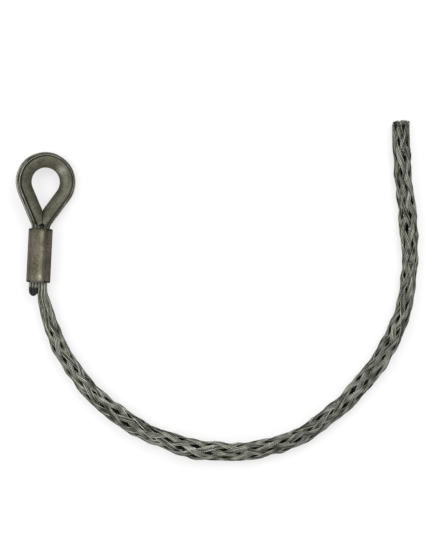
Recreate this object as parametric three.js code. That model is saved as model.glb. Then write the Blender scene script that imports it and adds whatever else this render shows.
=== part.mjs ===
import * as THREE from 'three';

// Cable pulling grip: a tube of interlaced flat strands, gathered into a rope
// that passes through a six-sided ferrule, round a thimble and back.
// All dimensions are in millimetres. The grip lies on its side, +Z up.

// Wires and strands.
const wireDiameter = 1;
const wiresPerStrand = 4;
const strandCount = 6;
const layerGap = 0.3;

// Woven tube.
const weaveRows = 45;
const firstRowFromFerrule = 38;
const mouthBendRadius = 2.5;
const lastRowBelowBend = 1.9;

// Rope made of all strand legs side by side.
const ropePitch = 2.5;
const ropeSquare = 2.1;
const pressedPitch = 2.2;
const pressedSquare = 1.95;
const tailLength = 13;
const innerTailExtra = 1.4;
const tailRounding = 0.7;
const tailRoundedShare = 0.7;

// Neck below the ferrule, where the block of strands opens into a ring.
const neckPackedAt = 11;
const neckPackedSquare = 1.8;
const neckOpeningAt = 15.5;
const neckInnerReach = 2.35;
const neckOuterReach = 4.85;
const neckOpeningSquare = 1.75;
const neckRingAt = 20;
const neckRingSquare = 2;
const neckFlatAt = 24;
const neckFlatHalfSlot = 0.37;
const neckFlatThickness = 1.2;
const neckSettleLength = 75;

// Ferrule.
const ferruleLength = 53;
const ferruleAcross = 25;
const ferruleCornerRadius = 3.2;
const ferruleChamfer = 1.4;
const ferruleRoll = 14;
const ropeHalfSpacing = 4.45;
const boreClearance = 0.27;

// Eye and thimble.
const eyeInnerRadius = 14.3;
const eyeHalfAngle = 30;
const eyeRoll = 18;
const thimbleHeight = 15;
const thimbleFlange = 2.1;
const thimbleReach = 10.7;
const thimbleWall = 5.45;
const thimbleLip = 0.6;
const thimbleLegLength = 30;
const thimbleEndGap = 0.3;
const grooveClearance = 0.45;
const eyeToFerrule = 46.1;
const ropeLegLength = 29.5;
const crotchAboveFerrule = 4.2;
const crotchHalfSpacing = 5.1;
const crotchLean = 15;
const crotchPitch = 2.3;

// How finely the round shapes are stepped.
const ropeTurnSteps = 14;
const thimbleLegSteps = 6;
const thimbleTurnSteps = 20;
const thimbleInsideSteps = 10;
const cornerPoints = 6;

// How far the grip spreads where it lies, and the places that were measured at 400 by 340.
const spreadAcross = 400;
const spreadAlong = 340;
const measuredAcross = 400;
const measuredAlong = 340;
const eyeCentre = [-170.7, 108.8];
const ferruleTop = [-176, 63];
const ferruleBottom = [-178.6, 10];
const restingLine = [
  [-174.4, -3], [-171.4, -16.4], [-166.6, -33], [-161.8, -46.6], [-136.5, -88.6],
  [-101.2, -122.2], [-59.6, -146.2], [-13.3, -159.3], [34.8, -159.5], [81, -146.1],
  [120.3, -118], [153.2, -82.7], [178.1, -41.6], [191.1, 4.7], [192.5, 52.9],
  [187.8, 100.7], [185.2, 132], [183.9, 160], [184.4, 170],
];

// Mean radius of the tube at distances from the ferrule: tight and loose places.
const tubeRadii = [
  [20, 5.4], [40, 6], [50, 6.6], [62, 7], [100, 7.5], [135, 7.7], [165, 8.2], [205, 7.7],
  [232, 9.2], [262, 8.7], [285, 7.8], [305, 8], [325, 7.5], [400, 7.8], [430, 8], [490, 7.8],
  [520, 7.4], [553, 6.9], [575, 6.9], [600, 8.2], [640, 7.7], [690, 8.1], [712, 7.3],
];

const radians = Math.PI / 180;
const legCount = 2 * strandCount;
const slotAngle = (2 * Math.PI) / legCount;
const strandWidth = wiresPerStrand * wireDiameter;
const level = (wireDiameter + layerGap) / 2;
const up = new THREE.Vector3(0, 0, 1);

// A measured place, moved with the spread of the grip.
function onGround([x, y], height = 0) {
  return new THREE.Vector3(
    (x * spreadAcross) / measuredAcross,
    (y * spreadAlong) / measuredAlong,
    height
  );
}

// A smooth value between the listed ones.
function profile(table, distance) {
  if (distance <= table[0][0]) return table[0][1];
  for (let i = 1; i < table.length; i += 1) {
    const [start, from] = table[i - 1];
    const [end, to] = table[i];
    if (distance <= end) {
      return from + (to - from) * THREE.MathUtils.smoothstep(distance, start, end);
    }
  }
  return table[table.length - 1][1];
}

const tubeRadius = (distance) => profile(tubeRadii, distance);
const outerRadius = (distance) => tubeRadius(distance) + level + wireDiameter / 2;

// Outward, upward and forward directions of a section; outward x lift = forward.
function sectionFrame(origin, outward, forward) {
  return { origin, outward, lift: new THREE.Vector3().crossVectors(forward, outward) };
}

// The level direction square to an axis, rolled about that axis.
function rolledSide(axis, roll) {
  const side = new THREE.Vector3().crossVectors(axis, up).normalize();
  return side.multiplyScalar(Math.cos(roll)).addScaledVector(up, -Math.sin(roll));
}

// Ferrule: its axis points from the tube towards the eye.
const cornerInset = ferruleAcross / 2 - ferruleCornerRadius / Math.cos(30 * radians);
const lowCorner = (4 * 60 + ferruleRoll) * radians;
const ferruleHeight = ferruleCornerRadius - cornerInset * Math.sin(lowCorner);
const bottomPoint = onGround(ferruleBottom, ferruleHeight);
const ferruleAxis = onGround(ferruleTop, ferruleHeight).sub(bottomPoint).normalize();
const topPoint = bottomPoint.clone().addScaledVector(ferruleAxis, ferruleLength);
const ferruleSide = rolledSide(ferruleAxis, eyeRoll * radians);

// Eye: a teardrop plane through the eye centre.
const rimRadius = eyeInnerRadius + thimbleReach;
const ropeHalfWidth = 1.5 * ropePitch + ropeSquare / 2;
const ropeRadius = eyeInnerRadius + thimbleWall + grooveClearance + ropeHalfWidth;
const eyeHeight =
  rimRadius * Math.sin(eyeRoll * radians) + (thimbleHeight / 2) * Math.cos(eyeRoll * radians);
const eyeAxis = onGround(eyeCentre)
  .sub(new THREE.Vector3(topPoint.x, topPoint.y, 0))
  .normalize();
const eyeSide = rolledSide(eyeAxis, eyeRoll * radians);
const eyeLift = new THREE.Vector3().crossVectors(eyeSide, eyeAxis);
const eyeOrigin = new THREE.Vector3(topPoint.x, topPoint.y, eyeHeight)
  .addScaledVector(eyeAxis, eyeToFerrule);

// A section of the teardrop: turn is the angle round the eye, leg the distance down a side.
function eyeFrame(turn, leg, radius) {
  const outward = eyeSide.clone().multiplyScalar(Math.cos(turn))
    .addScaledVector(eyeAxis, Math.sin(turn));
  const forward = new THREE.Vector3().crossVectors(outward, eyeLift);
  const origin = eyeOrigin.clone().addScaledVector(outward, radius);
  origin.addScaledVector(forward, leg);
  return sectionFrame(origin, outward, forward);
}

// Stations round the teardrop from the tail side over the top to the tube side.
function teardrop(radius, legLength, legSteps, turnSteps) {
  const start = Math.PI + eyeHalfAngle * radians;
  const end = -eyeHalfAngle * radians;
  const frames = [];
  for (let i = 0; i < legSteps; i += 1) {
    frames.push(eyeFrame(start, -legLength * (1 - i / legSteps), radius));
  }
  for (let i = 0; i <= turnSteps; i += 1) {
    frames.push(eyeFrame(start + ((end - start) * i) / turnSteps, 0, radius));
  }
  for (let i = 1; i <= legSteps; i += 1) {
    frames.push(eyeFrame(end, (legLength * i) / legSteps, radius));
  }
  return frames;
}

// Line of the tube, from the live end of the ferrule to the open mouth.
const ropeExit = bottomPoint.clone().addScaledVector(ferruleSide, ropeHalfSpacing);
const tubeLine = new THREE.CatmullRomCurve3(
  [new THREE.Vector3(ropeExit.x, ropeExit.y, 0)].concat(
    restingLine.map((place) => onGround(place))
  ),
  false,
  'centripetal'
);
tubeLine.arcLengthDivisions = 2000;
const tubeLength = tubeLine.getLength();
const bendStart = tubeLength - mouthBendRadius - strandWidth / 2;
const lastRow = bendStart - lastRowBelowBend;
const rowPitch = (lastRow - firstRowFromFerrule) / weaveRows;
const rowDistance = (row) => firstRowFromFerrule + row * rowPitch;

// The tube sinks from the height of the ferrule to lie on the ground.
function tubeFrame(distance) {
  const share = THREE.MathUtils.clamp(distance / tubeLength, 0, 1);
  const origin = tubeLine.getPointAt(share);
  const forward = tubeLine.getTangentAt(share);
  const settled = THREE.MathUtils.smoothstep(distance, 0, neckSettleLength);
  origin.z = THREE.MathUtils.lerp(ropeExit.z, outerRadius(distance), settled);
  return sectionFrame(origin, rolledSide(forward.clone().negate(), eyeRoll * radians), forward);
}

// A point of a section at offsets along its outward and upward directions.
function place(frame, across, high) {
  return frame.origin.clone()
    .addScaledVector(frame.outward, across)
    .addScaledVector(frame.lift, high);
}

function tubePoint(slot, distance, radius) {
  const angle = slot * slotAngle;
  return place(tubeFrame(distance), radius * Math.cos(angle), radius * Math.sin(angle));
}

// Four corners of a strand laid on the tube between two edge points.
function tubeStation(first, second, height, thickness) {
  const [slotA, distanceA] = first;
  const [slotB, distanceB] = second;
  const low = height - thickness / 2;
  const high = height + thickness / 2;
  return [
    tubePoint(slotA, distanceA, tubeRadius(distanceA) + high),
    tubePoint(slotA, distanceA, tubeRadius(distanceA) + low),
    tubePoint(slotB, distanceB, tubeRadius(distanceB) + low),
    tubePoint(slotB, distanceB, tubeRadius(distanceB) + high),
  ];
}

// Half width of a strand crossing, in slots.
function crossingHalf(distance) {
  const slotWidth = tubeRadius(distance) * slotAngle;
  const lean = Math.atan(slotWidth / rowPitch);
  return strandWidth / (2 * Math.cos(lean)) / slotWidth;
}

// A leg that climbs to the right, from the first row to just below the mouth.
function risingLeg(slotAtFirstRow) {
  const stations = [];
  for (let row = 0; row <= weaveRows; row += 1) {
    const half = crossingHalf(rowDistance(row));
    const slot = slotAtFirstRow + row;
    const height = row % 2 === 0 ? level : -level;
    const left = [slot - half, rowDistance(row)];
    const bottom = [slot, rowDistance(row - half)];
    stations.push(tubeStation(left, bottom, height, wireDiameter));
    if (row < weaveRows) {
      const top = [slot, rowDistance(row + half)];
      const right = [slot + half, rowDistance(row)];
      stations.push(tubeStation(top, right, height, wireDiameter));
    }
  }
  return stations;
}

// A leg that comes down to the right, from below the mouth to the first row.
function fallingLeg(slotAtLastRow) {
  const stations = [];
  for (let row = weaveRows; row >= 0; row -= 1) {
    const half = crossingHalf(rowDistance(row));
    const slot = slotAtLastRow + weaveRows - row;
    const height = row % 2 === 0 ? -level : level;
    if (row < weaveRows) {
      const top = [slot, rowDistance(row + half)];
      const left = [slot - half, rowDistance(row)];
      stations.push(tubeStation(top, left, height, wireDiameter));
    }
    const right = [slot + half, rowDistance(row)];
    const bottom = [slot, rowDistance(row - half)];
    stations.push(tubeStation(right, bottom, height, wireDiameter));
  }
  return stations;
}

// The turn at the mouth: up, along the selvedge above the next leg, and down.
function mouthLoop(slot) {
  const slotWidth = tubeRadius(lastRow) * slotAngle;
  const turns = [0, 30, 60, 90];
  const outer = mouthBendRadius + strandWidth / 2;
  const inner = mouthBendRadius - strandWidth / 2;
  const point = (radius, turn, side) => {
    const across = mouthBendRadius - radius * Math.cos(turn * radians);
    const offset = across / slotWidth;
    const distance = bendStart + radius * Math.sin(turn * radians);
    return [side < 0 ? slot + offset : slot + 2 - offset, distance];
  };
  const station = (turn, side) =>
    tubeStation(point(outer, turn, side), point(inner, turn, side), side * level, wireDiameter);
  const rise = turns.map((turn) => station(turn, -1));
  const fall = turns.map((turn) => station(turn, 1)).reverse();
  return rise.concat(fall);
}

// Four corners of a strand drawn together into a square at a place in the rope.
function ropeStation(frame, across, high, angle, size) {
  const radial = [Math.cos(angle) * size / 2, Math.sin(angle) * size / 2];
  const sideways = [-radial[1], radial[0]];
  const corner = (out, round) => place(
    frame,
    across + out * radial[0] + round * sideways[0],
    high + out * radial[1] + round * sideways[1]
  );
  return [corner(1, -1), corner(-1, -1), corner(-1, 1), corner(1, 1)];
}

// The rope is a four by four block of strands without its corners.
function ropeCell(slot) {
  const angle = (slot + 0.5) * slotAngle;
  const part = (value) => (Math.abs(value) > 0.9 ? 1.5 : 0.5) * Math.sign(value);
  return {
    across: part(Math.cos(angle)),
    high: part(Math.sin(angle)),
    inner: Math.abs(Math.cos(angle)) > 0.5 && Math.abs(Math.sin(angle)) > 0.5,
    slotAngle: angle,
    cellAngle: Math.round(angle / (Math.PI / 2)) * (Math.PI / 2),
  };
}

function packed(frame, cell, pitch, size) {
  return ropeStation(frame, cell.across * pitch, cell.high * pitch, cell.cellAngle, size);
}

// From the cut tail through the ferrule, round the thimble and back to the ferrule.
function eyeLeg(cell) {
  const stations = [];
  const tailSide = ferruleSide.clone().negate();
  const tailFrame = (along) => sectionFrame(
    bottomPoint.clone().addScaledVector(tailSide, ropeHalfSpacing)
      .addScaledVector(ferruleAxis, along),
    tailSide,
    ferruleAxis
  );
  const cut = tailLength + (cell.inner ? innerTailExtra : 0);
  const cutSize = pressedSquare * tailRoundedShare;
  stations.push(packed(tailFrame(-cut), cell, pressedPitch, cutSize));
  stations.push(packed(tailFrame(tailRounding - cut), cell, pressedPitch, pressedSquare));
  stations.push(packed(tailFrame(0), cell, pressedPitch, pressedSquare));
  stations.push(packed(tailFrame(ferruleLength), cell, pressedPitch, pressedSquare));
  const round = teardrop(ropeRadius, ropeLegLength, 1, ropeTurnSteps);
  const crotch = (side, outward) => sectionFrame(
    topPoint.clone().addScaledVector(eyeAxis, crotchAboveFerrule)
      .addScaledVector(eyeSide, side * crotchHalfSpacing)
      .addScaledVector(up, (eyeHeight - topPoint.z) / 2),
    outward,
    new THREE.Vector3().crossVectors(outward, eyeLift)
  );
  const lean = crotchLean * radians;
  const rightOut = eyeSide.clone().multiplyScalar(Math.cos(lean))
    .addScaledVector(eyeAxis, -Math.sin(lean));
  const leftOut = eyeSide.clone().multiplyScalar(-Math.cos(lean))
    .addScaledVector(eyeAxis, -Math.sin(lean));
  stations.push(packed(crotch(-1, leftOut), cell, crotchPitch, pressedSquare));
  round.forEach((frame) => stations.push(packed(frame, cell, ropePitch, ropeSquare)));
  stations.push(packed(crotch(1, rightOut), cell, crotchPitch, pressedSquare));
  const liveFrame = (along) => sectionFrame(
    ropeExit.clone().addScaledVector(ferruleAxis, along),
    ferruleSide,
    ferruleAxis.clone().negate()
  );
  stations.push(packed(liveFrame(ferruleLength), cell, pressedPitch, pressedSquare));
  stations.push(packed(liveFrame(0), cell, pressedPitch, pressedSquare));
  return stations;
}

// From the packed rope below the ferrule to an even ring of strands.
function neck(cell, lean) {
  const outward = (frame, reach, angle, size) => ropeStation(
    frame,
    reach * Math.cos(cell.slotAngle),
    reach * Math.sin(cell.slotAngle),
    angle,
    size
  );
  const halfTurned = (cell.slotAngle + cell.cellAngle) / 2;
  const reach = cell.inner ? neckInnerReach : neckOuterReach;
  const slot = cell.slotAngle / slotAngle;
  const radius = tubeRadius(neckRingAt);
  return [
    packed(tubeFrame(neckPackedAt), cell, pressedPitch, neckPackedSquare),
    outward(tubeFrame(neckOpeningAt), reach, halfTurned, neckOpeningSquare),
    outward(tubeFrame(neckRingAt), radius, cell.slotAngle, neckRingSquare),
    tubeStation(
      [slot - neckFlatHalfSlot, neckFlatAt],
      [slot + neckFlatHalfSlot, neckFlatAt],
      lean * level,
      neckFlatThickness
    ),
  ];
}

// The same stations walked the other way, with the two edges changed over.
function reversed(stations) {
  return stations.map(([a, b, c, d]) => [d, c, b, a]).reverse();
}

// A closed body through the stations; the diagonal of each face follows the crossings.
function ribbon(stations, fallingFrom) {
  const positions = stations.flat().flatMap((point) => point.toArray());
  const index = [];
  const quad = (a, b, c, d, swap) => {
    if (swap) index.push(a, d, b, b, d, c);
    else index.push(a, c, b, a, d, c);
  };
  for (let k = 0; k + 1 < stations.length; k += 1) {
    const near = 4 * k;
    const far = near + 4;
    const falling = k >= fallingFrom;
    for (let side = 0; side < 4; side += 1) {
      const next = (side + 1) % 4;
      // Side 3 is the outer face and side 1 the inner face.
      const swap = side === 1 ? !falling : falling;
      quad(near + side, near + next, far + next, far + side, swap);
    }
  }
  const last = 4 * (stations.length - 1);
  index.push(0, 1, 2, 0, 2, 3);
  index.push(last, last + 2, last + 1, last, last + 3, last + 2);
  const geometry = new THREE.BufferGeometry();
  geometry.setAttribute('position', new THREE.Float32BufferAttribute(positions, 3));
  geometry.setIndex(index);
  geometry.computeVertexNormals();
  return geometry;
}

function strandGeometry(i) {
  const firstSlot = 2 * i;
  const risingCell = ropeCell((firstSlot - 1 + legCount) % legCount);
  const fallingCell = ropeCell((firstSlot + 2 + 2 * weaveRows) % legCount);
  const rising = eyeLeg(risingCell).concat(
    neck(risingCell, 1),
    risingLeg(firstSlot),
    mouthLoop(firstSlot + weaveRows)
  );
  const falling = fallingLeg(firstSlot + weaveRows + 2).concat(
    reversed(neck(fallingCell, -1)),
    reversed(eyeLeg(fallingCell))
  );
  return ribbon(rising.concat(falling), rising.length - 4);
}

// Closed loft through rings of equal length; the rings form a tube or a ring of rings.
function loft(rings, closed) {
  const count = rings[0].length;
  const positions = rings.flat().flatMap((point) => point.toArray());
  const index = [];
  const steps = closed ? rings.length : rings.length - 1;
  for (let k = 0; k < steps; k += 1) {
    const near = k * count;
    const far = ((k + 1) % rings.length) * count;
    for (let j = 0; j < count; j += 1) {
      const next = (j + 1) % count;
      index.push(near + j, near + next, far + next, near + j, far + next, far + j);
    }
  }
  if (!closed) {
    const outline = rings[0].map((point) => new THREE.Vector2(point.u, point.v));
    const last = (rings.length - 1) * count;
    THREE.ShapeUtils.triangulateShape(outline, []).forEach(([a, b, c]) => {
      index.push(a, c, b, last + a, last + b, last + c);
    });
  }
  const geometry = new THREE.BufferGeometry();
  geometry.setAttribute('position', new THREE.Float32BufferAttribute(positions, 3));
  geometry.setIndex(index);
  geometry.computeVertexNormals();
  return geometry;
}

// Thimble section, outwards and across: rounded inside, a groove for the rope outside.
function thimbleSection() {
  const half = thimbleHeight / 2;
  const points = [];
  for (let i = 0; i <= thimbleInsideSteps; i += 1) {
    const turn = Math.PI * (i / thimbleInsideSteps - 0.5);
    const round = rimRadius - thimbleReach * Math.cos(turn);
    points.push([round, half * Math.sin(turn)]);
  }
  const floor = eyeInnerRadius + thimbleWall;
  const shoulder = ropeRadius - (ropePitch + ropeSquare) / 2 - 1.2 * grooveClearance;
  const flat = (ropePitch + ropeSquare) / 2 + grooveClearance;
  const wide = ropeHalfWidth + grooveClearance;
  const lip = rimRadius + thimbleLip;
  points.push([lip, half - thimbleFlange / 2]);
  points.push([rimRadius, wide], [shoulder, wide], [floor, flat]);
  points.push([floor, -flat], [shoulder, -wide], [rimRadius, -wide]);
  points.push([lip, -half + thimbleFlange / 2]);
  return points.reverse();
}

function thimbleGeometry() {
  const section = thimbleSection();
  const frames = teardrop(0, thimbleLegLength, thimbleLegSteps, thimbleTurnSteps);
  const middle = (frames.length - 1) / 2;
  const crownSteps = thimbleTurnSteps / 2 - 2;
  const rings = frames.map((frame, i) => section.map(([out, across]) => {
    const point = place(frame, out, across);
    const side = i < middle ? -1 : 1;
    const offset = point.clone().sub(eyeOrigin).dot(eyeSide) * side;
    const short = thimbleEndGap / 2 - offset;
    const low = Math.abs(i - middle) > crownSteps;
    if (short > 0 && low) point.addScaledVector(eyeSide, short * side);
    point.u = out;
    point.v = across;
    return point;
  }));
  return loft(rings, false);
}

// Six-sided outline with rounded corners, drawn in by an inset.
function sixSides(frame, inset) {
  const points = [];
  const shrink = inset / Math.cos(30 * radians);
  for (let corner = 0; corner < 6; corner += 1) {
    const at = (60 * corner + ferruleRoll) * radians;
    for (let i = 0; i < cornerPoints; i += 1) {
      const normal = at + (60 * (i / (cornerPoints - 1)) - 30) * radians;
      const reach = cornerInset - shrink;
      points.push(place(
        frame,
        reach * Math.cos(at) + ferruleCornerRadius * Math.cos(normal),
        reach * Math.sin(at) + ferruleCornerRadius * Math.sin(normal)
      ));
    }
  }
  return points;
}

// Oval bore for two ropes side by side, with one point for each outline point.
function ovalBore(frame) {
  const outer = [1.5 * pressedPitch + pressedSquare / 2, (pressedPitch + pressedSquare) / 2];
  const radius = Math.hypot(outer[0], outer[1]) + boreClearance;
  const points = [];
  const count = 6 * cornerPoints;
  const step = 360 / count;
  for (let j = 0; j < count; j += 1) {
    const turn = (ferruleRoll - 30 + (j + 0.5) * step) * radians;
    const local = turn + eyeRoll * radians;
    const across = Math.sign(Math.cos(local)) * ropeHalfSpacing + radius * Math.cos(local);
    const high = radius * Math.sin(local);
    const back = -eyeRoll * radians;
    points.push(place(
      frame,
      across * Math.cos(back) - high * Math.sin(back),
      across * Math.sin(back) + high * Math.cos(back)
    ));
  }
  return points;
}

function ferruleGeometry() {
  const acrossLevel = new THREE.Vector3().crossVectors(ferruleAxis, up).normalize();
  const frame = (along) => sectionFrame(
    bottomPoint.clone().addScaledVector(ferruleAxis, along),
    acrossLevel,
    ferruleAxis.clone().negate()
  );
  const rings = [ovalBore(frame(0))];
  const edge = [[0, 1], [0.3, 0.3], [1, 0]];
  edge.forEach(([along, inset]) => {
    rings.push(sixSides(frame(along * ferruleChamfer), inset * ferruleChamfer));
  });
  edge.toReversed().forEach(([along, inset]) => {
    rings.push(sixSides(frame(ferruleLength - along * ferruleChamfer), inset * ferruleChamfer));
  });
  rings.push(ovalBore(frame(ferruleLength)));
  return loft(rings.reverse(), true);
}

function steel(colour, roughness) {
  return new THREE.MeshStandardMaterial({
    color: colour,
    roughness,
    metalness: 0.85,
    flatShading: true,
  });
}

const grip = new THREE.Group();
grip.name = 'cable_pulling_grip';

function add(name, geometry, material) {
  const mesh = new THREE.Mesh(geometry, material);
  mesh.name = name;
  grip.add(mesh);
}

add('thimble', thimbleGeometry(), steel(0x55544a, 0.5));
add('ferrule', ferruleGeometry(), steel(0x4f4a3f, 0.45));
for (let i = 0; i < strandCount; i += 1) {
  add(`strand_${i + 1}`, strandGeometry(i), steel(0x5d5e54, 0.5));
}

// The part's origin is under the middle of its box.
const box = new THREE.Box3().setFromObject(grip);
const middle = box.getCenter(new THREE.Vector3());
grip.children.forEach((mesh) => mesh.geometry.translate(-middle.x, -middle.y, -box.min.z));

export default grip;
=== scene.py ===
# %% [markdown]
# # Cable pulling grip on a pale floor
#
# A steel cable grip lies curled on its side: a long open tube of interlaced wires,
# a six-sided pressed ferrule and an eye with a grooved thimble.
# The imported solids stay as the fixed frame. Here every strand gets its four real wires,
# and the thimble and the ferrule get finer surfaces and steel finishes that show wear, painted
# shade and painted highlights.
# Lengths in this script are millimetres until a mesh is made, which is in metres.

import math

import bpy
import numpy as np
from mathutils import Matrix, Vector


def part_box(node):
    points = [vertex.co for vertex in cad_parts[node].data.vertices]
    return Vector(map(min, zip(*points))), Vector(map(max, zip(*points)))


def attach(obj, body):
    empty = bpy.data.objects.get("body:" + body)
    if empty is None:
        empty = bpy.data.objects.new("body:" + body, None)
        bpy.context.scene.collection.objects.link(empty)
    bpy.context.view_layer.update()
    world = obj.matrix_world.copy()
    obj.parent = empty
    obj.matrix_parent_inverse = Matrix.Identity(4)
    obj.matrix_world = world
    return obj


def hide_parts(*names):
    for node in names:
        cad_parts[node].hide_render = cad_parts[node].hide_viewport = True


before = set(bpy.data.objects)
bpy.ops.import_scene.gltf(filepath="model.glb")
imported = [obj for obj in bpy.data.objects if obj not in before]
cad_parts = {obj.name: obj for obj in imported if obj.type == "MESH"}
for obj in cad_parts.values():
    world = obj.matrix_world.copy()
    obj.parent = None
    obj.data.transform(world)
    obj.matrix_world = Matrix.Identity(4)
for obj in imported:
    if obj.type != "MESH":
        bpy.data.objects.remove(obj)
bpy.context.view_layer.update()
MM = 0.001
RAD = math.pi / 180
rng = np.random.default_rng(7)
print("frame holds", len(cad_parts), "nodes")

# %% [markdown]
# ## Driving dimensions
#
# Most of these are the sizes of the solids. Only the wires are a little thicker, and in the mesh
# further apart, than in the flat strand that stands for them, to close the mesh as in the photo.
# The tube is laid out in slots round it (a twelfth of a turn) and rows along it,
# because a strand moves one slot sideways for each row it climbs.
# The lists LINE and RADII are given: where the tube lies, and how wide it is along it.

# %% Dimensions
WIRE = 1.08
WIRE_SPACING = 1.23
WIRES_PER_STRAND = 4
STRANDS = 6
SLOT = math.pi / STRANDS
ROWS = 45
FIRST_ROW = 38.0
BEND_RADIUS = 2.5
LAST_ROW_BELOW_BEND = 1.9
WIRE_LEVEL = 0.56
TUBE_LEVEL = 0.65
ROPE_PITCH = 2.5
ROPE_SQUARE = 2.1
PRESSED_PITCH = 2.2
TAIL_LENGTH = 13.0
FERRULE_LENGTH = 53.0
FERRULE_ACROSS = 25.0
CORNER_RADIUS = 3.2
CHAMFER = 1.4
FERRULE_ROLL = 14.0
ROPE_SPACING = 4.45
BORE_RADIUS = 5.02
EYE_RADIUS = 14.3
EYE_HALF_ANGLE = 30.0
EYE_ROLL = 18.0
THIMBLE_HEIGHT = 15.0
THIMBLE_FLANGE = 2.1
THIMBLE_REACH = 10.7
THIMBLE_WALL = 5.45
THIMBLE_LEG = 30.0
GROOVE_CLEARANCE = 0.45
ROPE_HALF_WIDTH = 1.5 * ROPE_PITCH + ROPE_SQUARE / 2
ROPE_RADIUS = EYE_RADIUS + THIMBLE_WALL + GROOVE_CLEARANCE + ROPE_HALF_WIDTH
ROPE_LEG = 29.5
EYE_TO_FERRULE = 46.1
CROTCH_ABOVE_FERRULE = 4.2
CROTCH_HALF_SPACING = 5.1
CROTCH_LEAN = 15.0
CROTCH_PITCH = 2.3
NECK_SETTLES = 75.0
EYE_CENTRE = (-170.7, 108.8)
FERRULE_TOP = (-176.0, 63.0)
FERRULE_BOTTOM = (-178.6, 10.0)
LINE = [
    (-174.4, -3), (-171.4, -16.4), (-166.6, -33), (-161.8, -46.6), (-136.5, -88.6),
    (-101.2, -122.2), (-59.6, -146.2), (-13.3, -159.3), (34.8, -159.5), (81, -146.1),
    (120.3, -118), (153.2, -82.7), (178.1, -41.6), (191.1, 4.7), (192.5, 52.9),
    (187.8, 100.7), (185.2, 132), (183.9, 160), (184.4, 170),
]
RADII = np.array([
    (20, 5.4), (40, 6), (50, 6.6), (62, 7), (100, 7.5), (135, 7.7), (165, 8.2), (205, 7.7),
    (232, 9.2), (262, 8.7), (285, 7.8), (305, 8), (325, 7.5), (400, 7.8), (430, 8), (490, 7.8),
    (520, 7.4), (553, 6.9), (575, 6.9), (600, 8.2), (640, 7.7), (690, 8.1), (712, 7.3),
])
UP = np.array([0.0, 0.0, 1.0])
print("strands", STRANDS, "of", WIRES_PER_STRAND, "wires, rope radius in the eye", ROPE_RADIUS)

# %% [markdown]
# ## Curves
#
# All shapes come from a few curve helpers that work on whole arrays.
# The spline is a centripetal Catmull-Rom curve: it passes through its points without loops,
# also where they are unevenly spaced.

# %% Curve helpers
def unit(v):
    """Each vector divided by its length."""
    return v / np.linalg.norm(v, axis=-1, keepdims=True)


def smooth(x):
    """Smooth step: 3x^2 - 2x^3 on x held between 0 and 1."""
    x = np.clip(x, 0.0, 1.0)
    return x * x * (3.0 - 2.0 * x)


def bell(x, at, width):
    """Soft peak: exp(-((x - at) / width)^2)."""
    return np.exp(-(((x - at) / width) ** 2))


def spline(points, steps):
    """Centripetal Catmull-Rom curve through points, with steps samples per span.

    Each span is a cubic whose end slopes come from knot gaps of distance^0.5.
    """
    p = np.asarray(points, float)
    p = np.vstack([2 * p[0] - p[1], p, 2 * p[-1] - p[-2]])
    gap = np.maximum(np.linalg.norm(np.diff(p, axis=0), axis=1) ** 0.5, 1e-4)[:, None]
    a, b, c, d = p[:-3], p[1:-2], p[2:-1], p[3:]
    g0, g1, g2 = gap[:-2], gap[1:-1], gap[2:]
    m1 = ((b - a) / g0 - (c - a) / (g0 + g1) + (c - b) / g1) * g1
    m2 = ((c - b) / g1 - (d - b) / (g1 + g2) + (d - c) / g2) * g1
    t = (np.arange(steps) / steps)[None, :, None]
    b, c, m1, m2 = b[:, None], c[:, None], m1[:, None], m2[:, None]
    curve = b + m1 * t + (3 * (c - b) - 2 * m1 - m2) * t**2 + (2 * (b - c) + m1 + m2) * t**3
    return np.vstack([curve.reshape(-1, p.shape[1]), p[-2:-1]])


def tube_radius(u):
    """Mean radius of the tube at distance u, eased between the listed places."""
    u = np.asarray(u, float)
    k = np.clip(np.searchsorted(RADII[:, 0], u) - 1, 0, len(RADII) - 2)
    share = smooth((u - RADII[k, 0]) / (RADII[k + 1, 0] - RADII[k, 0]))
    return RADII[k, 1] + (RADII[k + 1, 1] - RADII[k, 1]) * share


print("tube radius from", RADII[:, 1].min(), "to", RADII[:, 1].max())


# %% [markdown]
# ## Places of the ferrule, the eye and the tube
#
# The eye and the ferrule are rolled a little about their long axis, right side low,
# as the photo shows the rope beside the thimble on the left only.

# %% Places
def rolled_side(axis, roll):
    """Level direction square to axis, turned down by roll degrees about the axis."""
    side = unit(np.cross(axis, UP))
    return side * math.cos(roll * RAD) - UP * math.sin(roll * RAD)


corner_inset = FERRULE_ACROSS / 2 - CORNER_RADIUS / math.cos(30 * RAD)
ferrule_height = CORNER_RADIUS - corner_inset * math.sin((240 + FERRULE_ROLL) * RAD)
bottom = np.array([*FERRULE_BOTTOM, ferrule_height])
ferrule_axis = unit(np.array([*FERRULE_TOP, ferrule_height]) - bottom)
top = bottom + ferrule_axis * FERRULE_LENGTH
ferrule_side = rolled_side(ferrule_axis, EYE_ROLL)
ferrule_lift = np.cross(-ferrule_axis, ferrule_side)
rim = EYE_RADIUS + THIMBLE_REACH
eye_height = rim * math.sin(EYE_ROLL * RAD) + THIMBLE_HEIGHT / 2 * math.cos(EYE_ROLL * RAD)
eye_axis = unit(np.array([EYE_CENTRE[0] - top[0], EYE_CENTRE[1] - top[1], 0.0]))
eye_side = rolled_side(eye_axis, EYE_ROLL)
eye_lift = np.cross(eye_side, eye_axis)
eye_origin = np.array([top[0], top[1], eye_height]) + eye_axis * EYE_TO_FERRULE
rope_exit = bottom + ferrule_side * ROPE_SPACING

LINE_STEPS = 64
line = spline([(rope_exit[0], rope_exit[1])] + LINE, LINE_STEPS)
line_u = np.concatenate([[0], np.cumsum(np.linalg.norm(np.diff(line, axis=0), axis=1))])
tube_length = line_u[-1]
bend_start = tube_length - BEND_RADIUS - WIRES_PER_STRAND * WIRE / 2
last_row = bend_start - LAST_ROW_BELOW_BEND
pitch = (last_row - FIRST_ROW) / ROWS

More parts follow.
